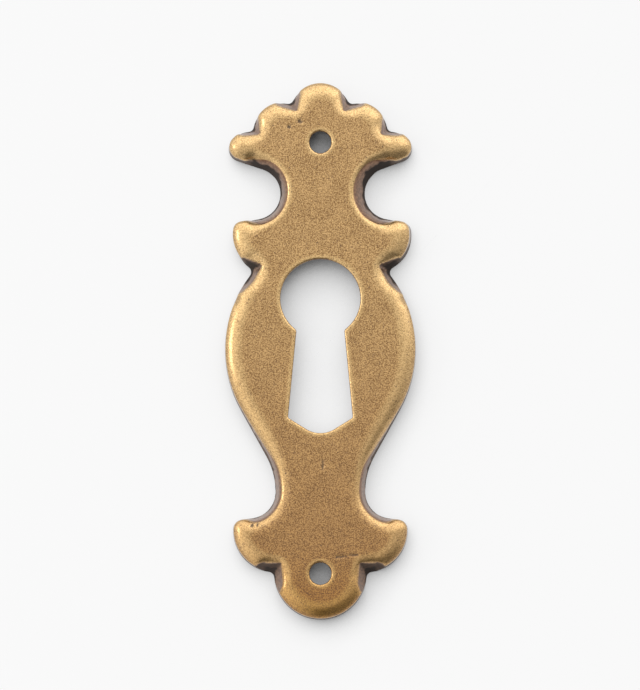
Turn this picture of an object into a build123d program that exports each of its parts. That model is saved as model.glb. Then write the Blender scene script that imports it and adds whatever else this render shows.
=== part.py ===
from build123d import *
import os
from math import cos, radians, sin, sqrt

os.makedirs("parts", exist_ok=True)

# The pressing, a hollow tray of sheet brass. All lengths are in millimetres.
sheet = 0.7                 # thickness of the brass
rise = 3.2                  # trimmed back edge to front face
bend_radius = 0.5           # inside of the bend from the wall to the front face
lobe_lean = 0.3             # how far the wall leans in on the outward curves
hollow_lean = 1.0           # how far it leans in on the inward curves
edge_turn = 8.0             # degrees that the straight edges turn in about their tips, back to front
notch_radius = 0.8          # bottom of a notch, outside, at the back edge
notch_face_radius = 0.25    # bottom of a notch, outside, at the front face
tip_margin = 0.1            # how much rounder than the bend every tip is at the front face

# Urn-shaped body. Heights on the plate are measured from its widest line.
body_width = 25.4
urn_radius = 16.5
flank_angle = 29.0          # lower flank, from the plate's axis
flank_length = 7.0
waist_radius = 10.0         # curve from the flank down to the waist

# Foot below the waist: an ear on each side and a round tongue
foot_drop = 5.1             # waist to the centre of the ear's curve
foot_reach = 5.6            # how far the ear stands out from the waist
foot_radius = 5.55
foot_top = 2.05             # ear's top edge above the centre of its curve
foot_top_angle = 8.0
foot_tip_radius = 0.6       # inside, at the back edge
tongue_drop = 5.65          # centre of the ear's curve to the centre of the tongue
tongue_radius = 6.15

# Pointed shoulders above the body
shoulder_rise = 15.25
shoulder_x = 6.65
shoulder_radius = 5.2
shoulder_top = 2.55         # top edge above the centre of the shoulder's curve
shoulder_top_angle = 11.0
shoulder_tip_radius = 0.6   # inside, at the back edge
scroll_x = 9.1              # centre of the scroll cut in between shoulder and crown

# Crown: an ear, a side lobe and half of the middle lobe on each side
ear_rise = 10.55            # centre of the shoulder's curve to the centre of the ear's
ear_x = 9.2
ear_radius = 3.45
ear_depth = 1.15            # ear's under edge below the centre of its curve
ear_under_angle = 19.5
ear_tip_radius = 1.05       # inside, at the back edge
side_lobe_rise = 3.2        # above the centre of the ear's curve
side_lobe_x = 4.95
side_lobe_radius = 4.05
crown_rise = 5.65           # above the centre of the ear's curve
crown_radius = 4.15

# Keyhole and screw holes
key_rise = 7.1              # centre of the keyhole's round
key_radius = 5.3
key_slot_top = 5.5          # slot width carried up to the round's centre
key_slot_width = 8.55       # slot width at its lower corners
key_slot_drop = 16.1        # centre of the round to the lower corners
key_point_drop = 2.7        # lower corners to the point, before its rounding
key_point_radius = 3.5
key_corner_radius = 0.3     # lower corners of the slot
key_throat_radius = 0.5     # corners where the slot leaves the round
screw_hole = 2.9            # diameter
screw_hole_drop = 3.6       # centre of the middle lobe to the upper screw hole
pierced_edge = 0.2          # burnished rounding of the openings' front edges


def facing(angle):
    """Unit vector at this angle from the x axis."""
    return Vector(cos(radians(angle)), sin(radians(angle)))


# Centres of the curves on the right-hand side, with the plate's axis at x = 0
urn = Vector(body_width / 2 - urn_radius, 0)
flank = facing(-flank_angle)
flank_end = urn + flank * urn_radius + facing(-90 - flank_angle) * flank_length
waist = flank_end + flank * waist_radius - Vector(waist_radius, 0)
foot = waist + Vector(foot_reach - foot_radius, -foot_drop)
tongue = Vector(0, foot.Y - tongue_drop)
shoulder = Vector(shoulder_x, shoulder_rise)
ear = Vector(ear_x, shoulder.Y + ear_rise)
side_lobe = Vector(side_lobe_x, ear.Y + side_lobe_rise)
crown = Vector(0, ear.Y + crown_rise)

# The middle of the plate's length goes to y = 0
middle = (crown.Y + crown_radius + tongue.Y - tongue_radius) / 2


def notch_ends(centre, radius, next_centre, next_radius, rounding):
    """Ends of the rounding in the notch between two outward curves, going down the plate."""
    near = radius + rounding
    far = next_radius + rounding
    gap = next_centre - centre
    along = (near**2 - far**2 + gap.length**2) / (2 * gap.length)
    aside = gap.normalized().rotate(Axis.Z, 90) * sqrt(near**2 - along**2)
    hub = centre + gap.normalized() * along + aside
    start = centre + (hub - centre).normalized() * radius
    end = next_centre + (hub - next_centre).normalized() * next_radius
    return start, end


def turned_edge(radius, angle, distance, turn, inset):
    """Facing of a straight edge turned in about its tip, and its distance from its curve's centre."""
    outward = facing(angle + 90 if angle < 0 else angle - 90)
    tip = facing(angle) * (distance - inset) + outward * sqrt(radius**2 - distance**2)
    edge_facing = facing(angle - turn if angle < 0 else angle + turn)
    return edge_facing, tip.dot(edge_facing)


def tip_ends(centre, radius, edge_facing, edge_distance, rounding):
    """Ends of the rounding of a tip, on its outward curve and on the straight edge that cuts it."""
    outward = edge_facing.rotate(Axis.Z, 90 if edge_facing.Y < 0 else -90)
    inside = edge_distance - rounding
    hub = centre + edge_facing * inside + outward * sqrt((radius - rounding) ** 2 - inside**2)
    on_curve = centre + (hub - centre).normalized() * radius
    on_edge = hub + edge_facing * rounding
    return on_curve, on_edge


def outline(height, depth):
    """The plate's outline at this height in the wall, this deep under its outer skin."""
    share = height / rise
    lobe_inset = lobe_lean * share + depth * sqrt(1 + (lobe_lean / rise) ** 2)
    hollow_inset = hollow_lean * share + depth * sqrt(1 + (hollow_lean / rise) ** 2)

    def tip_rounding(back_radius):
        face_radius = bend_radius + tip_margin
        return back_radius + (face_radius - back_radius) * share + sheet - depth

    # The outward curves, and the notches where they meet
    notch = notch_radius + (notch_face_radius - notch_radius) * share + depth
    crown_r = crown_radius - lobe_inset
    side_lobe_r = side_lobe_radius - lobe_inset
    ear_r = ear_radius - lobe_inset
    shoulder_r = shoulder_radius - lobe_inset
    urn_r = urn_radius - lobe_inset
    foot_r = foot_radius - lobe_inset
    tongue_r = tongue_radius - lobe_inset
    crown_end, side_lobe_start = notch_ends(crown, crown_r, side_lobe, side_lobe_r, notch)
    side_lobe_end, ear_start = notch_ends(side_lobe, side_lobe_r, ear, ear_r, notch)
    shoulder_end, urn_start = notch_ends(shoulder, shoulder_r, urn, urn_r, notch)
    foot_end, tongue_start = notch_ends(foot, foot_r, tongue, tongue_r, notch)

    # The straight edges, and the tips that they cut off the outward curves
    turn = edge_turn * share
    ear_under, ear_edge = turned_edge(ear_radius, ear_under_angle - 90, ear_depth, turn, lobe_inset)
    shoulder_over, shoulder_edge = turned_edge(
        shoulder_radius, 90 - shoulder_top_angle, shoulder_top, turn, lobe_inset
    )
    foot_over, foot_edge = turned_edge(foot_radius, 90 - foot_top_angle, foot_top, turn, lobe_inset)
    ear_tip = tip_rounding(ear_tip_radius)
    shoulder_tip = tip_rounding(shoulder_tip_radius)
    foot_tip = tip_rounding(foot_tip_radius)
    ear_end, ear_under_start = tip_ends(ear, ear_r, ear_under, ear_edge, ear_tip)
    shoulder_start, shoulder_over_end = tip_ends(
        shoulder, shoulder_r, shoulder_over, shoulder_edge, shoulder_tip
    )
    foot_start, foot_over_end = tip_ends(foot, foot_r, foot_over, foot_edge, foot_tip)

    # The scroll touches the ear's under edge and the shoulder's top edge
    ear_room = (Vector(scroll_x, 0) - ear).dot(ear_under) - ear_edge
    shoulder_room = (Vector(scroll_x, 0) - shoulder).dot(shoulder_over) - shoulder_edge
    scroll = Vector(scroll_x, (shoulder_room - ear_room) / (ear_under.Y - shoulder_over.Y))
    scroll_r = (scroll - ear).dot(ear_under) - ear_edge

    # The waist is two curves, one from the flank and one on to the foot's top edge
    neck = waist - Vector(hollow_inset, 0)
    upper_r = ((neck - urn).dot(flank) - urn_r) / (1 - flank.X)
    lower_r = ((neck - foot).dot(foot_over) - foot_edge) / (1 - foot_over.X)
    upper = neck + Vector(upper_r, 0)
    lower = neck + Vector(lower_r, 0)

    half = Curve() + [
        RadiusArc(crown + Vector(0, crown_r), crown_end, crown_r),
        RadiusArc(crown_end, side_lobe_start, -notch),
        RadiusArc(side_lobe_start, side_lobe_end, side_lobe_r),
        RadiusArc(side_lobe_end, ear_start, -notch),
        RadiusArc(ear_start, ear_end, ear_r),
        RadiusArc(ear_end, ear_under_start, ear_tip),
        Line(ear_under_start, scroll - ear_under * scroll_r),
        RadiusArc(scroll - ear_under * scroll_r, scroll - shoulder_over * scroll_r, -scroll_r),
        Line(scroll - shoulder_over * scroll_r, shoulder_over_end),
        RadiusArc(shoulder_over_end, shoulder_start, shoulder_tip),
        RadiusArc(shoulder_start, shoulder_end, shoulder_r),
        RadiusArc(shoulder_end, urn_start, -notch),
        RadiusArc(urn_start, urn + flank * urn_r, urn_r),
        Line(urn + flank * urn_r, upper - flank * upper_r),
        RadiusArc(upper - flank * upper_r, neck, -upper_r),
        RadiusArc(neck, lower - foot_over * lower_r, -lower_r),
        Line(lower - foot_over * lower_r, foot_over_end),
        RadiusArc(foot_over_end, foot_start, foot_tip),
        RadiusArc(foot_start, foot_end, foot_r),
        RadiusArc(foot_end, tongue_start, -notch),
        RadiusArc(tongue_start, tongue - Vector(0, tongue_r), tongue_r),
    ]
    return Pos(0, -middle, height) * make_face(half + mirror(half, Plane.YZ))


def pressed_form(height, depth, bend):
    """Solid with leaning walls and a rounded front edge, this deep under the plate's outer skin."""
    form = loft([outline(0, depth), outline(height, depth)], ruled=True)
    return fillet(form.faces().sort_by(Axis.Z)[-1].edges(), bend)


def keyhole():
    """The keyhole's round, and the flared slot with a blunt point below it."""
    slot_line = Polyline(
        (-key_slot_top / 2, 0),
        (-key_slot_width / 2, -key_slot_drop),
        (0, -key_slot_drop - key_point_drop),
        (key_slot_width / 2, -key_slot_drop),
        (key_slot_top / 2, 0),
        close=True,
    )
    slot = make_face(slot_line)
    slot = fillet(slot.vertices().group_by(Axis.Y)[0], key_point_radius)
    slot = fillet(slot.vertices().group_by(Axis.Y)[1], key_corner_radius)
    opening = Circle(key_radius) + slot
    opening = fillet(opening.vertices().group_by(Axis.Y)[-1], key_throat_radius)
    return Pos(0, key_rise) * opening


def pierced(tray, openings):
    """The tray with these openings cut through its front, and their front edges rounded."""
    tray = tray - extrude(Pos(0, -middle) * openings, rise)
    front = tray.faces().sort_by(Axis.Z)[-1]
    rims = [edge for rim in front.inner_wires() for edge in rim.edges()]
    return fillet(rims, pierced_edge)


skin = pressed_form(rise, 0, bend_radius + sheet)
hollow = pressed_form(rise - sheet, sheet, bend_radius)
upper_hole = Pos(crown - Vector(0, screw_hole_drop)) * Circle(screw_hole / 2)
lower_hole = Pos(tongue) * Circle(screw_hole / 2)
plate = pierced(skin - hollow, keyhole() + upper_hole + lower_hole)

export_step(plate, "parts/escutcheon_plate.step")
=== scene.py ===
"""The keyhole escutcheon in relieved antique brass, lying on a white table and seen from above."""

import math

import bpy
import numpy as np
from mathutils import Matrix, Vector, noise
from mathutils.bvhtree import BVHTree
from mathutils.kdtree import KDTree


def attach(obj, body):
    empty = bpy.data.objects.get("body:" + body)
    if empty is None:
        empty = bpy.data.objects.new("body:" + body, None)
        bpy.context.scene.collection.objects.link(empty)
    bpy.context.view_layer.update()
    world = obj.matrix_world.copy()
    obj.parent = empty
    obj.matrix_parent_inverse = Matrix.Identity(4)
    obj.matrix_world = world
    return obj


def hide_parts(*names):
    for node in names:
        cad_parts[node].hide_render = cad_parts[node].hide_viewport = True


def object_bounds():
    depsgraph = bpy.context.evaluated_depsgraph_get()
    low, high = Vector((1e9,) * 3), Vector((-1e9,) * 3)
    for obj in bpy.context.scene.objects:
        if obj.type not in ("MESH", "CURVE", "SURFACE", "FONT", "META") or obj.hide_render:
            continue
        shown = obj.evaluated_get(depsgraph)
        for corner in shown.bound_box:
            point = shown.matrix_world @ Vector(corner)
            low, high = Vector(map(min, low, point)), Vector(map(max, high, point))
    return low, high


MM = 0.001                      # the scene is in metres, and the sizes below in millimetres

# Mesh of the plate
face_size = 0.2                 # side of its small square faces
weld_distance = 0.002           # nearer corners of the CAD mesh are made one
edge_spacing = 0.03             # between the points that mark the trimmed edge
mark_spacing = 0.3              # between those at which the edge's curve is measured
mark_reach = 1.5                # circle in which an edge counts as curving outward or inward
mark_rays = 240                 # places on that circle
shape_blend = 1.8               # distance over which lobes and hollows pass into each other, near tips
colour_blend = 1.0              # the same for their colours
longest_blend = 4.0             # and for both, far from tips
tip_reach = 3.0                 # how far off a tip counts as near
tip_curve = 0.12                # curve of the edge at a tip
hollow_curve = -0.06            # at which a hollow is fully one
lobe_curve = 0.016              # and a lobe
crown_aged_curve = -0.002       # below which an edge of the crown is fully dark with age
aged_curve = -0.03              # and any other edge
relax = 0.5                     # share of the way to its neighbours that a smoothed point moves

# Spans along the plate, from its middle towards the crown, in which one part passes into the next
waist_to_middle = (-10, 0)
waist_to_shoulders = (-10, 10)
shoulders_to_crown = (12, 18)
scrolls_begin = (10, 13)
scrolls_end = (23, 26)

# How pressing and polishing have left it
lobe_reach = 2.3                # width of the lobes' soft edges
lobe_drop = 0.95                # and how far they fall
lobe_power = 3.2                # how steeply they end
lobe_wall = 0.1                 # how far in the wall below them leans
aged_wall = 0.45                # and how much more where it is dark with age
scroll_lean = 1.1               # how far in the walls of the upper scrolls lean, up to the face
waist_lean = 0.75               # and those of the low waist
hollow_blend = 1.6              # height over which these walls round into the face
waist_lobe = 0.5                # how far the low waist has the lobes' soft edges too
shape_start = (0.1, 0.5)        # heights between which this shape begins
smooth_start = (0.2, 0.6)       # and between which its smoothing does
shape_end = (2.9, 3.3)          # distances from the trimmed edge between which both end
press_shift = 0.3               # how far the trimmed edge of the upper scrolls lies to the right
opening_places = [-29, -10, 12, 28]         # places along the plate
opening_drops = [0.16, 0.25, 0.6, 0.4]      # how far towards the foot the openings' edges lie there
opening_inset = 3.0             # walls farther than this from the trimmed edge are an opening's
opening_upward = 0.5            # they face up less than this
opening_fade = (0.3, 2.5)       # distances from them between which their drop fades

# Small dents in the front: their two ends and half of their width
dents = [
    ((-2.8, 30.4), (-2.6, 30.25), 0.28),
    ((-4.25, 29.6), (-4.15, 29.6), 0.24),
    ((-9.0, -23.5), (-8.95, -23.3), 0.25),
    ((-8.3, -23.4), (-8.25, -23.2), 0.2),
    ((2.1, -27.5), (2.25, -27.5), 0.18),
    ((2.3, -27.5), (4.9, -27.3), 0.12),
    ((0.2, -14.0), (0.3, -16.0), 0.08),
]
dent_depth = 0.1
dent_floor = 0.4                # share of the half width that is flat

# Inner ends of the grooves in the right-hand notches, and half of the angle that each opens to
groove_ends = [(3.05, 31.65, 36), (7.95, 28.6, 37), (7.6, 11.2, 36), (5.1, -28.25, 43)]
groove_back_radius = 0.6        # bottom of a groove at the trimmed edge
groove_face_radius = 0.1        # and at the front face
groove_crest = 0.15             # height over which its sides round into the face
groove_reach = 1.7              # how far from its start a groove begins to run out
groove_rise = 0.75              # and how steeply it does
groove_depths = (0.05, 0.25)    # depths between which a point begins to count as in a groove
groove_sheet = 0.6              # metal left behind a groove
back_start = (0.05, 0.5)        # heights between which the back begins to make room for a groove
back_softness = 0.1             # how gently it begins to
back_reach = 1.0                # how far beyond that metal it still does
back_moved = 0.05               # farther moved points of the back are spaced evenly again
notch_reach = 2.0               # how far from a notch its lobes keep their soft edges

# Wear, stain, soot and painted shade on the plate's points, each from 0 to 1
worn_bulge = 0.04               # what stands out this far is fully worn
worn_start = (-0.6, 1.0)        # distances from the trimmed edge between which a lobe's wear begins
worn_end = (1.4, 3.2)           # and between which it ends
stain_upward = 0.2              # walls that face up less than this are stained
aged_upward = 0.3               # how much more where the edge is dark with age
hollow_upward = 0.3             # and how much more again in hollows
opening_stain = 0.5             # the same limit in the openings
opening_start = (2.0, 2.6)      # distances from the trimmed edge between which these begin
stain_below = 0.14              # how far below the limit the stain is full
stain_above = 0.1               # and how far above it there is none
foot_facing = (0.1, 0.6)        # shares of the normal between which a wall begins to face the foot
groove_halo_shade = 0.9              # painted shade beside the grooves' sides that face the foot
back_stain = 0.4                # on the whole back
soot_and_shade_height = 0.4               # up to which there is soot and painted shade on the waist
shoulder_soot_and_shade = 0.5             # how much higher at the shoulders and above
foot_facing_shade = 1.2                 # how much higher on walls that face the foot, as painted shade
ragged_soot_and_shade = 0.6               # and how much higher or lower in patches
soot_and_shade_patch = 0.7                # size of these patches
soot_and_shade_pattern = 3                # which of many such patterns it is
soot_and_shade_fade = (-0.3, 0.2)         # heights about that limit between which the soot ends
least_soot_and_shade = 0.7                # share of the soot and shade that is left where the edge isn't dark with age
groove_painted_shade = 0.1               # painted shade in the grooves
groove_foot_painted_shade = 0.65         # and how much more painted shade on their sides that face the foot
dent_darkness = 0.8                 # how dark the dents are made

# Antique brass: colours of its dark and pale grains, and of what lies on it
face_colours = [(0.175, 0.077, 0.008, 1), (0.61, 0.376, 0.145, 1)]
worn_colours = [(0.48, 0.29, 0.10, 1), (0.80, 0.54, 0.23, 1)]
# also used for the painted shade beside the grooves' sides that face the foot
stain_and_shade_colours = [(0.16, 0.075, 0.035, 1), (0.29, 0.15, 0.073, 1)]
speck_colour = (0.10, 0.04, 0.012, 1)
fleck_colour = (0.06, 0.025, 0.01, 1)
# near-black soot, also used as painted shade at the base of the walls, on walls that face the foot and
# in grooves
soot_and_shade_colour = (0.03, 0.018, 0.012, 1)
foot_shade_tint = (0.78, 0.66, 0.48, 1)           # painted shade: the plate darker and browner towards its foot
foot_shade_span = (12, -38)                       # and between which places along it
tongue_shade_tint = (0.88, 0.77, 0.4, 1)          # painted shade: the tongue darker and browner again
tongue_shade_span = (-25, -36)

# Antique brass: patterns, by their features per millimetre and the values between which they begin
grain_scale = 6.5
grain_range = (0.3, 0.7)
blotch_scale = 0.3
blotch_share = 0.4              # how much blotches add to the grain's tone
tone_range = (0.15, 1.25)       # sums of both that are fully dark and fully pale
ragged_scale = 2.5
ragged_wear = 0.4               # how far the border of the wear is ragged
wear_range = (0.35, 1.15)
ragged_stain = 0.5              # and that of the stain
stain_range = (0.5, 1.0)
stain_tones = (0.35, 0.65)
speck_scale = 3.0
speck_range = (0.34, 0.16)
speck_patch_scale = 1.6
speck_patch_range = (0.45, 0.6)
fleck_scale = 0.5
fleck_range = (0.07, 0.03)
fleck_jolt = 0.15               # how far the border of a fleck is ragged
worn_share = 0.7                # how far wear, specks and flecks cover what lies below
speck_share = 0.7
fleck_share = 0.8
worn_foot_shade = 0.6                 # how far the painted shade towards the foot shows where it is worn

# Antique brass: gloss
face_roughness = 0.40
worn_roughness = 0.30
soot_and_shade_roughness = 0.45           # what soot and painted shade add
stained_metal = 0.7             # how metallic stained brass looks
soot_and_shade_metal = 0.2
lacquer_roughness = 0.2
lacquer_index = 1.55
stained_lacquer = 0.5           # how much of the lacquer's gloss stain leaves
soot_and_shade_lacquer = 0.1
relief_depth = 0.02             # of the specks
relief_grain = 0.6              # share of it that the grain has
relief_strength = 0.3

# White table
table_reach = 2000.0            # half of its side
table_drop = 0.02               # how far below the plate's back edge it lies
table_grey = (0.15, 0.15, 0.15, 1)          # its own colour, dark so that little light goes back up
table_roughness = 0.9
table_glow = 0.765              # how bright the camera and reflections see it
shadow_light = (-0.25, 0.75, 0.61)          # where the light comes from that the plate takes from it
shadow_reach = 18.0             # from how far off the plate still takes it
shadow_range = (0.296, 0.79)    # shares of that light that show black and white
shadow_power = 0.48             # how fast the shadow brightens between them

# Studio: brightness of a white room, and of the lamp in it
white = (1, 1, 1, 1)
room_light = 0.78
foot_light = 0.17               # the room's beyond the foot
to_foot = Vector((0.26, -0.91, 0.32))
foot_border = (0.4, 0.9)        # where it begins and where it is full
crown_light = (0.4, 1.2)        # added beyond the crown, on the left and on the right
crown_border = (0, 0.6)
crown_sides = (-0.6, 0.3)
left_light = 0.53               # added on the left
left_border = (0, -0.35)
right_light = 0.1               # and on the right
right_border = (0, 0.3)
box_direction = Vector((-0.87, 0.1, 0.47))
box_distance = 900.0
box_side = 300.0
box_light = 2.8

# Photograph's frame
image_height = 690              # pixels
plate_pixel = 0.1331            # length on the table that one pixel covers
aim = Vector((-0.05, 0.77, 0))
camera_distance = 600.0
camera_tilt = 5.0               # degrees from straight down, towards the plate's foot
camera_sensor = 36.0
camera_near = 10.0              # nothing nearer than this is seen

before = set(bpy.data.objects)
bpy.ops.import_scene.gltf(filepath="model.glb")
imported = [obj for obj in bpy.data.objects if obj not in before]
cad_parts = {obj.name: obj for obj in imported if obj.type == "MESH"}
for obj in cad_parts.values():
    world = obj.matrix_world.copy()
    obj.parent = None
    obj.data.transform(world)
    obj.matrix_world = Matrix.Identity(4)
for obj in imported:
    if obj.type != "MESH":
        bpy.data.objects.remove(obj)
cad_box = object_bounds()
cad_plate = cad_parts["escutcheon_plate"]
top = cad_box[1][2] / MM        # height of the front face


def smoothstep(low, high, value):
    """0 below low, 1 above high and smooth between them."""
    share = np.clip((value - low) / (high - low), 0, 1)
    return share * share * (3 - 2 * share)


def between(first, second, share):
    """From first to second as share goes from 0 to 1."""
    return first + (second - first) * share


def smooth_min(first, second, blend):
    """The lower of two heights, with a rounded change from one to the other."""
    share = np.clip(0.5 + 0.5 * (second - first) / blend, 0, 1)
    return second + (first - second) * share - blend * share * (1 - share)


def cad_triangles():
    """Corner points of the CAD plate's triangles, in millimetres, and its search tree."""
    mesh = cad_plate.data
    mesh.calc_loop_triangles()
    points = np.zeros(len(mesh.vertices) * 3)
    mesh.vertices.foreach_get("co", points)
    points = points.reshape(-1, 3) / MM
    corners = np.zeros(len(mesh.loop_triangles) * 3, int)
    mesh.loop_triangles.foreach_get("vertices", corners)
    corners = corners.reshape(-1, 3)
    return points[corners], BVHTree.FromPolygons(points.tolist(), corners.tolist())


def even_mesh():
    """A new mesh of the CAD plate's shape, in small even faces."""
    source = bpy.data.objects.new("even_source", cad_plate.data.copy())
    bpy.context.scene.collection.objects.link(source)
    weld = source.modifiers.new("weld", "WELD")
    weld.merge_threshold = weld_distance * MM
    remesh = source.modifiers.new("remesh", "REMESH")
    remesh.mode = "VOXEL"
    remesh.voxel_size = face_size * MM
    graph = bpy.context.evaluated_depsgraph_get()
    mesh = bpy.data.meshes.new_from_object(source.evaluated_get(graph))
    bpy.data.objects.remove(source)
    return mesh


class Surface:
    """The mesh's points as arrays, in millimetres, with what is needed to smooth them."""

    def __init__(self, mesh):
        self.mesh = mesh
        points = np.zeros(len(mesh.vertices) * 3)
        mesh.vertices.foreach_get("co", points)
        self.points = points.reshape(-1, 3) / MM
        ends = np.zeros(len(mesh.edges) * 2, int)
        mesh.edges.foreach_get("vertices", ends)
        self.start, self.end = ends.reshape(-1, 2).T
        self.degree = np.bincount(ends, minlength=len(self.points))

    def spread(self, values, steps=1):
        """One value per point, averaged over the point's neighbours this many times."""
        count = len(self.points)
        for _ in range(steps):
            total = np.bincount(self.start, values[self.end], count)
            total += np.bincount(self.end, values[self.start], count)
            values = total / self.degree
        return values

    def spread_points(self, steps=1):
        return np.stack([self.spread(column, steps) for column in self.points.T], 1)

    def normals(self):
        self.write()
        result = np.zeros(len(self.points) * 3)
        self.mesh.vertex_normals.foreach_get("vector", result)
        return result.reshape(-1, 3)

    def smooth(self, amount, steps):
        """Moves the points towards their neighbours."""
        for _ in range(steps):
            self.points += (self.spread_points() - self.points) * amount[:, None]

    def even_out(self, amount, steps):
        """Spaces the points evenly without leaving the surface."""
        for _ in range(steps):
            normals = self.normals()
            move = self.spread_points() - self.points
            move -= normals * (move * normals).sum(1)[:, None]
            self.points += move * amount[:, None]

    def write(self):
        self.mesh.vertices.foreach_set("co", (self.points * MM).ravel())
        self.mesh.update()

    def attribute(self, name, values):
        layer = self.mesh.attributes.new(name, "FLOAT", "POINT")
        layer.data.foreach_set("value", np.asarray(values, np.float32))


def back_edge_points(triangles, spacing):
    """Points along the outer trimmed edge on the table, from the CAD walls that stand on it."""
    least_upward = 0.05
    on_table = 0.001
    across = np.cross(triangles[:, 1] - triangles[:, 0], triangles[:, 2] - triangles[:, 0])
    facing_up = across[:, 2] > least_upward * np.linalg.norm(across, axis=1)
    points = []
    for triangle in triangles[facing_up]:
        low = triangle[triangle[:, 2] < on_table]
        if len(low) == 2:
            pieces = max(1, round(np.linalg.norm(low[1] - low[0]) / spacing))
            points += [low[0] + (low[1] - low[0]) * step / pieces for step in range(pieces)]
    return np.array(points)


def outward_curve(points, tree):
    """How far the outline curves outward at these points: above 0 on lobes, below 0 in hollows."""
    above = top + 10
    turns = [2 * math.pi * (step + 0.5) / mark_rays for step in range(mark_rays)]
    ring = [Vector((math.cos(turn), math.sin(turn), 0)) * mark_reach for turn in turns]
    down = Vector((0, 0, -1))
    result = []
    for point in points:
        centre = Vector((point[0], point[1], above))
        covered = sum(tree.ray_cast(centre + spoke, down)[0] is not None for spoke in ring)
        result.append(0.5 - covered / mark_rays)
    return np.array(result)


def plan_finder(points):
    """Search tree of these points as seen from above."""
    finder = KDTree(len(points))
    for index, (x, y, _) in enumerate(points):
        finder.insert((x, y, 0), index)
    finder.balance()
    return finder


class Edge:
    """The plate's outer trimmed edge, seen from above."""

    def __init__(self, triangles, tree):
        self.points = back_edge_points(triangles, edge_spacing)
        self.finder = plan_finder(self.points)
        self.marks = back_edge_points(triangles, mark_spacing)
        self.mark_finder = plan_finder(self.marks)
        self.mark_curve = outward_curve(self.marks, tree)

    def curves_near(self, reach):
        """For each mark, how far the outline curves outward at the marks within its reach."""
        result = []
        for (x, y, _), far in zip(self.marks, reach):
            found = self.mark_finder.find_range((x, y, 0), far)
            result.append(self.mark_curve[[hit[1] for hit in found]])
        return result

    def curve(self, blend):
        """Outward curve at each point of the edge, averaged this far or, away from tips, farther."""
        least_curve = 0.001
        beside = self.curves_near(np.full(len(self.marks), tip_reach))
        sharpest = np.array([np.abs(curves).max() for curves in beside])
        reach = np.clip(blend * tip_curve / np.maximum(sharpest, least_curve), blend, longest_blend)
        blended = np.array([curves.mean() for curves in self.curves_near(reach)])
        return blended[[self.mark_finder.find((x, y, 0))[1] for x, y, _ in self.points]]

    def nearest(self, points):
        """For each point, the index of the nearest point of the edge, and its distance."""
        found = [self.finder.find((point[0], point[1], 0)) for point in points]
        return np.array([hit[1] for hit in found]), np.array([hit[2] for hit in found])


class Groove:
    """A groove that rises from a notch in the trimmed edge to its inner end on the front face."""

    def __init__(self, edge, inner_end, half_angle):
        self.start = edge.points[edge.nearest([inner_end])[0][0]][:2]
        run = np.array(inner_end) - self.start
        self.length = np.linalg.norm(run)
        self.along = run / self.length
        self.opening = math.tan(math.radians(half_angle))

    def inward(self, points):
        """How far in along the groove its side passes through these points, seen from above."""
        offset = points[:, :2] - self.start
        run = offset @ self.along
        aside = offset @ np.array([-self.along[1], self.along[0]])
        share = np.clip(run / self.length, 0, 1)
        radius = between(groove_back_radius, groove_face_radius, share)
        return run + (np.sqrt(aside**2 + radius**2) - radius) / self.opening

    def height(self, points):
        """Height of the groove's sides, which run out along the edge."""
        run_out = groove_rise * np.maximum(self.distance(points) - groove_reach, 0)
        return np.maximum(self.inward(points) * top / self.length, 0) + run_out

    def distance(self, points):
        return np.linalg.norm(points[:, :2] - self.start, axis=1)

    def push_back(self, points):
        """Moves points of the hollow back inward until there is metal between them and the groove."""
        height = points[:, 2]
        room = self.length * height / top + groove_sheet - self.inward(points)
        push = (room + np.sqrt(room**2 + back_softness)) / 2
        push *= smoothstep(*back_start, height) * (room > -back_reach)
        points[:, :2] += self.along * push[:, None]


class Border:
    """How far each point of the plate is from the trimmed edge, and what the edge is like there."""

    def __init__(self, surface, edge, grooves):
        near, self.distance = edge.nearest(surface.points)
        along = surface.points[:, 1]
        notch_distance = np.min([groove.distance(edge.points) for groove in grooves], 0)[near]
        lobe = smoothstep(hollow_curve, lobe_curve, edge.curve(shape_blend)[near])
        lobe = np.maximum(lobe, 1 - smoothstep(notch_reach, 2 * notch_reach, notch_distance))
        lobe = np.maximum(lobe, waist_lobe * (1 - smoothstep(*waist_to_middle, along)))
        self.lobe = surface.spread(lobe, steps=8)
        self.hollow = 1 - self.lobe
        fully_aged = between(aged_curve, crown_aged_curve, smoothstep(*shoulders_to_crown, along))
        aged = 1 - smoothstep(fully_aged, lobe_curve, edge.curve(colour_blend)[near])
        self.aged = surface.spread(aged, steps=4)


def open_above(points, normals, tree):
    """True for the points that see the sky, so for the front and the walls but not the hollow back."""
    lift = 0.05
    up = Vector((0, 0, 1))
    starts = points + normals * lift
    return np.array([tree.ray_cast(Vector(start), up)[0] is None for start in starts])


def field(points, size, pattern):
    """Smooth noise between about -1 and 1 at these points, with features of this size."""
    offset = Vector((pattern, 0, 0))
    return np.array([noise.noise(Vector(point) / size + offset) for point in points])


def lobe_height(edge_distance, lean):
    """Height of a lobe's front this far in from the trimmed edge."""
    wall = (top - lobe_drop) * np.clip(edge_distance / lean, 0, 1)
    left = 1 - np.clip((edge_distance - lean) / lobe_reach, 0, 1)
    return wall + lobe_drop * (1 - left**lobe_power)


def hollow_height(edge_distance, lean):
    """Height of the front this far in from the trimmed edge of a hollow."""
    return smooth_min(np.full(len(edge_distance), top), edge_distance * top / lean, hollow_blend)


def in_dents(points):
    """1 on the floor of the small dents, 0 outside them."""
    deepest = np.zeros(len(points))
    for start, end, half_width in dents:
        offset = points[:, :2] - start
        run = np.subtract(end, start)
        share = np.clip(offset @ run / (run @ run), 0, 1)
        distance = np.linalg.norm(offset - share[:, None] * run, axis=1)
        deepest = np.maximum(deepest, 1 - smoothstep(dent_floor * half_width, half_width, distance))
    return deepest


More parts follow.
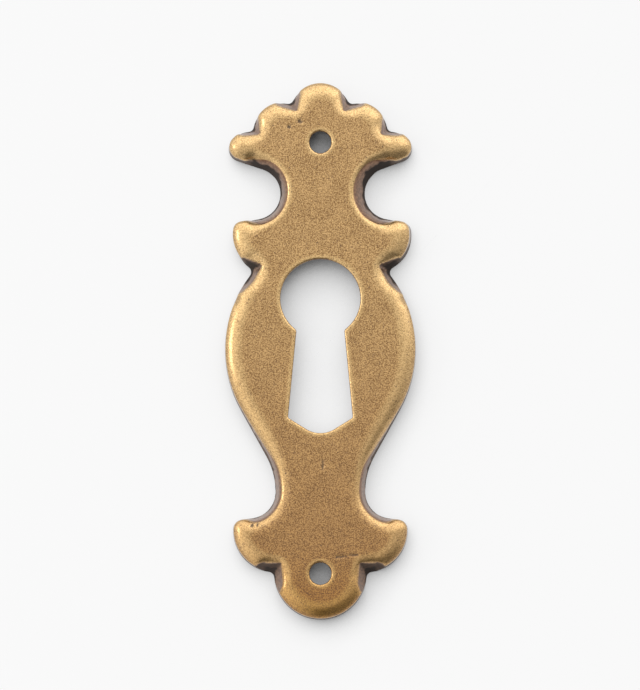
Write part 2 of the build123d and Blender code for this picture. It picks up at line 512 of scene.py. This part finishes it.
def press(surface, front, border, grooves):
    """Shapes the lobes, the hollows and the grooves. Gives back how far each point is in a groove."""
    height = surface.points[:, 2].copy()
    near_edge = front * (1 - smoothstep(*shape_end, border.distance))
    shaped = near_edge * smoothstep(*shape_start, height)
    lobe_lean = lobe_wall + aged_wall * border.aged
    hollow_lean = between(waist_lean, scroll_lean, smoothstep(*waist_to_shoulders, surface.points[:, 1]))
    wanted = border.hollow * hollow_height(border.distance, hollow_lean)
    wanted += border.lobe * lobe_height(border.distance, lobe_lean)
    height += (wanted - height) * shaped

    uncut = height
    back_points = surface.points[~front]
    for groove in grooves:
        grooved = smooth_min(height, groove.height(surface.points), groove_crest)
        height = np.where(front, grooved, height)
        groove.push_back(back_points)
    cut = smoothstep(*groove_depths, uncut - height)
    surface.points[:, 2] = np.maximum(height, 0)
    pushed = np.zeros(len(height))
    pushed[~front] = np.linalg.norm(back_points - surface.points[~front], axis=1) > back_moved
    surface.points[~front] = back_points

    reshaped = near_edge * smoothstep(*smooth_start, height)
    surface.even_out(np.maximum(reshaped, pushed) * relax, steps=6)
    softened = reshaped * border.lobe * (1 - surface.spread(cut, steps=3))
    surface.smooth(softened * relax, steps=4)
    surface.points[:, 2] = np.clip(surface.points[:, 2], 0, top)
    return cut


def shift_scrolls(surface):
    """Moves the trimmed edge of the upper scrolls aside, as the press has."""
    _, along, height = surface.points.T
    scrolls = smoothstep(*scrolls_begin, along) * (1 - smoothstep(*scrolls_end, along))
    surface.points[:, 0] += press_shift * scrolls * (1 - height / top)


def drop_openings(surface, border):
    """Moves the edges of the openings a little towards the foot."""
    steep = np.abs(surface.normals()[:, 2]) < opening_upward
    finder = plan_finder(surface.points[(border.distance > opening_inset) & steep])
    distance = np.array([finder.find((x, y, 0))[2] for x, y, _ in surface.points])
    drop = np.interp(surface.points[:, 1], opening_places, opening_drops)
    surface.points[:, 1] -= drop * (1 - smoothstep(*opening_fade, distance))


def age(surface, front, border, cut):
    """Dents the front, and marks where the plate is worn bright, stained and sooty, and where shade is
    painted: at the base of its walls, on walls that face the foot, in its grooves and beside them.
    """
    dented = in_dents(surface.points) * front
    surface.points[:, 2] -= dent_depth * dented
    normals = surface.normals()
    _, along, height = surface.points.T
    upward = normals[:, 2]
    facing_foot = smoothstep(*foot_facing, -normals[:, 1])

    limit = stain_upward + border.aged * (aged_upward + hollow_upward * border.hollow)
    limit = np.maximum(limit, opening_stain * smoothstep(*opening_start, border.distance))
    stain_and_shade = 1 - smoothstep(limit - stain_below, limit + stain_above, upward)
    # patina in the grooves, and painted shade beside their sides that face the foot
    stain_and_shade = np.max([stain_and_shade, cut, groove_halo_shade * surface.spread(cut * facing_foot, steps=5)], 0)

    bulge = -((surface.spread_points(steps=10) - surface.points) * normals).sum(1)
    lobe_wear = smoothstep(*worn_start, border.distance) * (1 - smoothstep(*worn_end, border.distance))
    wear = np.maximum(np.clip(bulge / worn_bulge, 0, 1), border.lobe * lobe_wear)
    wear *= 1 - surface.spread(cut, steps=6)

    # soot with painted shade at the base of the walls, reaching higher on walls that face the foot
    soot_and_shade_top = soot_and_shade_height + shoulder_soot_and_shade * smoothstep(*waist_to_shoulders, along)
    soot_and_shade_top += foot_facing_shade * facing_foot
    soot_and_shade_top += ragged_soot_and_shade * field(surface.points, soot_and_shade_patch, soot_and_shade_pattern)
    soot_and_shade = (1 - smoothstep(*soot_and_shade_fade, height - soot_and_shade_top)) * np.maximum(border.aged, least_soot_and_shade)
    # painted shade in the grooves, more on their sides that face the foot
    in_grooves = (groove_painted_shade + groove_foot_painted_shade * facing_foot) * cut
    soot_and_shade = np.max([soot_and_shade, in_grooves, dent_darkness * dented], 0)

    surface.attribute("wear", np.where(front, wear, 0))
    surface.attribute("patina_and_shade", np.where(front, stain_and_shade, back_stain))
    surface.attribute("soot_and_shade", np.where(front, soot_and_shade, 0))


def escutcheon():
    """The plate in small faces, pressed, polished and aged as in the photograph."""
    triangles, tree = cad_triangles()
    surface = Surface(even_mesh())
    surface.points = np.array([tree.find_nearest(Vector(point))[0] for point in surface.points])
    front = open_above(surface.points, surface.normals(), tree)
    edge = Edge(triangles, tree)
    grooves = [Groove(edge, (side * x, y), angle) for x, y, angle in groove_ends for side in (1, -1)]
    border = Border(surface, edge, grooves)

    cut = press(surface, front, border, grooves)
    shift_scrolls(surface)
    drop_openings(surface, border)
    age(surface, front, border, cut)
    surface.write()
    surface.mesh.shade_smooth()

    piece = bpy.data.objects.new("antique_plate", surface.mesh)
    bpy.context.scene.collection.objects.link(piece)
    return piece


class Nodes:
    """Adds shader nodes to a material or a world and links them to its own shader."""

    def __init__(self, owner, shader="Principled BSDF"):
        owner.use_nodes = True
        self.tree = owner.node_tree
        self.shader = self.tree.nodes[shader]

    def set(self, socket, value):
        if isinstance(value, bpy.types.NodeSocket):
            self.tree.links.new(value, socket)
        else:
            socket.default_value = value

    def shade(self, inputs):
        """Sets or links inputs of the material's or the world's own shader."""
        for name, value in inputs.items():
            self.set(self.shader.inputs[name], value)

    def add(self, kind, inputs, output=0, **settings):
        node = self.tree.nodes.new("ShaderNode" + kind)
        for name, value in settings.items():
            setattr(node, name, value)
        for name, value in inputs.items():
            self.set(node.inputs[name], value)
        return node.outputs[output]

    def math(self, operation, first, second):
        return self.add("Math", {0: first, 1: second}, operation=operation)

    def plus(self, first, second):
        return self.math("ADD", first, second)

    def times(self, first, second):
        return self.math("MULTIPLY", first, second)

    def ramp(self, value, low, high, to_low=0.0, to_high=1.0):
        """value from low to high as to_low to to_high, smooth and held outside."""
        sockets = {"Value": value, "From Min": low, "From Max": high}
        sockets.update({"To Min": to_low, "To Max": to_high})
        return self.add("MapRange", sockets, interpolation_type="SMOOTHSTEP")

    def fall(self, value, lowest):
        """From 1 to lowest as value goes from 0 to 1."""
        return self.ramp(value, 0, 1, 1.0, lowest)

    def mix(self, share, first, second, **settings):
        """Colour that goes from first to second."""
        return self.add("Mix", {0: share, 6: first, 7: second}, output=2, data_type="RGBA", **settings)

    def tint(self, share, colour, by):
        """The colour, multiplied by another as far as the share says."""
        return self.mix(share, colour, by, blend_type="MULTIPLY")

    def attribute(self, name):
        return self.add("Attribute", {}, output="Fac", attribute_name=name)

    def noise(self, place, scale, detail, roughness=0.5):
        sockets = {"Vector": place, "Scale": scale, "Detail": detail, "Roughness": roughness}
        return self.add("TexNoise", sockets)

    def spots(self, place, scale):
        """Distance from the nearest of many scattered points."""
        return self.add("TexVoronoi", {"Vector": place, "Scale": scale})

    def jolt(self, place, amount, reach):
        """The place, moved aside by an amount so that what is drawn there looks ragged."""
        aside = self.add("CombineXYZ", {"X": amount, "Y": self.math("SUBTRACT", 1.0, amount)})
        aside = self.add("VectorMath", {0: aside, "Scale": reach}, operation="SCALE")
        return self.add("VectorMath", {0: place, 1: aside}, operation="ADD")


def antique_brass():
    """Brown brass with a fine speckle, worn bright on its edges, dark with patina and painted shade in
    its recesses, and with painted shade towards its foot.
    """
    material = bpy.data.materials.new("antique_brass")
    nodes = Nodes(material)
    place = nodes.add("TexCoord", {}, output="Object")
    place = nodes.add("VectorMath", {0: place, "Scale": 1 / MM}, operation="SCALE")
    along = nodes.add("SeparateXYZ", {"Vector": place}, output="Y")

    # Patterns, and the marks of age and painted shade with ragged borders
    grain = nodes.noise(place, grain_scale, detail=2, roughness=0.65)
    ragged = nodes.noise(place, ragged_scale, detail=3, roughness=0.6)
    blotch = nodes.noise(place, blotch_scale, detail=3)
    patches = nodes.ramp(nodes.noise(place, speck_patch_scale, detail=2), *speck_patch_range)
    speck = nodes.times(nodes.ramp(nodes.spots(place, speck_scale), *speck_range), patches)
    fleck = nodes.spots(nodes.jolt(place, ragged, fleck_jolt), fleck_scale)
    fleck = nodes.ramp(fleck, *fleck_range)
    wear = nodes.plus(nodes.attribute("wear"), nodes.times(ragged, ragged_wear))
    wear = nodes.ramp(wear, *wear_range)
    stain_and_shade = nodes.plus(nodes.attribute("patina_and_shade"), nodes.times(ragged, ragged_stain))
    stain_and_shade = nodes.ramp(stain_and_shade, *stain_range)
    soot_and_shade = nodes.attribute("soot_and_shade")

    # Colour, from the bare metal up to what lies on it, with painted shade towards the foot and in
    # recesses
    tone = nodes.plus(nodes.ramp(grain, *grain_range), nodes.times(blotch, blotch_share))
    tone = nodes.ramp(tone, *tone_range)
    colour = nodes.mix(tone, *face_colours)
    colour = nodes.mix(nodes.times(wear, worn_share), colour, nodes.mix(tone, *worn_colours))
    colour = nodes.mix(nodes.times(speck, speck_share), colour, speck_colour)
    colour = nodes.mix(nodes.times(fleck, fleck_share), colour, fleck_colour)
    # painted shade: darker and browner towards the foot, less so where worn
    shaded_towards_foot = nodes.times(nodes.ramp(along, *foot_shade_span), nodes.fall(wear, worn_foot_shade))
    colour = nodes.tint(shaded_towards_foot, colour, foot_shade_tint)
    colour = nodes.tint(nodes.ramp(along, *tongue_shade_span), colour, tongue_shade_tint)
    stain_and_shade_colour = nodes.mix(nodes.ramp(ragged, *stain_tones), *stain_and_shade_colours)
    colour = nodes.mix(stain_and_shade, colour, stain_and_shade_colour)
    colour = nodes.mix(soot_and_shade, colour, soot_and_shade_colour)

    # Gloss: stain dulls the metal and its lacquer, and soot and painted shade do so more
    roughness = nodes.ramp(wear, 0, 1, face_roughness, worn_roughness)
    roughness = nodes.plus(roughness, nodes.times(soot_and_shade, soot_and_shade_roughness))
    metallic = nodes.times(nodes.fall(stain_and_shade, stained_metal), nodes.fall(soot_and_shade, soot_and_shade_metal))
    lacquer = nodes.times(nodes.fall(stain_and_shade, stained_lacquer), nodes.fall(soot_and_shade, soot_and_shade_lacquer))
    relief = nodes.math("SUBTRACT", nodes.times(grain, relief_grain), speck)
    bump = {"Strength": relief_strength, "Distance": relief_depth * MM, "Height": relief}
    nodes.shade({"Base Color": colour, "Roughness": roughness, "Metallic": metallic})
    nodes.shade({"Coat Weight": lacquer, "Coat Roughness": lacquer_roughness, "Coat IOR": lacquer_index})
    nodes.shade({"Normal": nodes.add("Bump", bump)})
    return material


def white_table():
    """A table that looks white, darker where the plate keeps light from it."""
    corners = [(-table_reach, -table_reach), (table_reach, -table_reach)]
    corners += [(table_reach, table_reach), (-table_reach, table_reach)]
    mesh = bpy.data.meshes.new("table")
    mesh.from_pydata([(x * MM, y * MM, -table_drop * MM) for x, y in corners], [], [(0, 1, 2, 3)])
    table = bpy.data.objects.new("table", mesh)
    bpy.context.scene.collection.objects.link(table)

    material = bpy.data.materials.new("white_table")
    nodes = Nodes(material)
    x, y, z = shadow_light
    to_light = nodes.add("CombineXYZ", {"X": x, "Y": y, "Z": z})
    occlusion = {"Distance": shadow_reach * MM, "Normal": to_light}
    openness = nodes.add("AmbientOcclusion", occlusion, output="AO")
    darkest, lightest = shadow_range
    openness = nodes.add("MapRange", {"Value": openness, "From Min": darkest, "From Max": lightest})
    glow = nodes.times(nodes.math("POWER", openness, shadow_power), table_glow)
    seen = 0.0
    for ray in ("Is Camera Ray", "Is Glossy Ray", "Is Transmission Ray"):
        seen = nodes.math("MAXIMUM", seen, nodes.add("LightPath", {}, output=ray))
    nodes.shade({"Base Color": table_grey, "Roughness": table_roughness, "Specular IOR Level": 0.0})
    nodes.shade({"Emission Color": white, "Emission Strength": nodes.times(glow, seen)})
    mesh.materials.append(material)
    return table


def softbox():
    """A square lamp to the left that faces the plate."""
    lamp = bpy.data.lights.new("left", "AREA")
    lamp.shape = "RECTANGLE"
    lamp.size = box_side * MM
    lamp.size_y = box_side * MM
    # A lamp is as bright as its power divided by four times its area
    lamp.energy = 4 * box_light * lamp.size * lamp.size_y
    box = bpy.data.objects.new("left", lamp)
    towards = box_direction.normalized()
    box.location = towards * box_distance * MM
    box.rotation_euler = towards.to_track_quat("Z", "Y").to_euler()
    bpy.context.scene.collection.objects.link(box)


def studio():
    """A white room, brighter beyond the crown and at the sides and dark beyond the foot."""
    world = bpy.data.worlds.new("studio")
    nodes = Nodes(world, "Background")
    direction = nodes.add("TexCoord", {}, output="Generated")
    to_right = nodes.add("SeparateXYZ", {"Vector": direction}, output="X")
    to_crown = nodes.add("SeparateXYZ", {"Vector": direction}, output="Y")
    both = {0: direction, 1: to_foot.normalized()}
    beyond_foot = nodes.add("VectorMath", both, output="Value", operation="DOT_PRODUCT")

    crown_share = nodes.ramp(to_right, *crown_sides, *crown_light)
    crown = nodes.times(nodes.ramp(to_crown, *crown_border), crown_share)
    left = nodes.ramp(to_right, *left_border, 0, left_light)
    right = nodes.ramp(to_right, *right_border, 0, right_light)
    room = nodes.ramp(beyond_foot, *foot_border, room_light, foot_light)
    room = nodes.plus(room, nodes.plus(crown, nodes.plus(left, right)))
    nodes.shade({"Color": white, "Strength": room})
    bpy.context.scene.world = world


def photo_camera():
    """Looks down on the plate as the photograph does."""
    camera = bpy.data.cameras.new("photo_camera")
    camera.sensor_fit = "VERTICAL"
    camera.sensor_height = camera_sensor
    camera.lens = camera_sensor * camera_distance / (image_height * plate_pixel)
    camera.clip_start = camera_near * MM
    viewer = bpy.data.objects.new("photo_camera", camera)
    tilt = math.radians(camera_tilt)
    away = Vector((0, -math.sin(tilt), math.cos(tilt)))
    viewer.location = (aim + away * camera_distance) * MM
    viewer.rotation_euler = (tilt, 0, 0)
    bpy.context.scene.collection.objects.link(viewer)
    bpy.context.scene.camera = viewer


plate = escutcheon()
plate.data.materials.clear()
plate.data.materials.append(antique_brass())
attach(plate, "root")
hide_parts("escutcheon_plate")
white_table()
studio()
softbox()
photo_camera()
bpy.context.scene.view_settings.view_transform = "Standard"
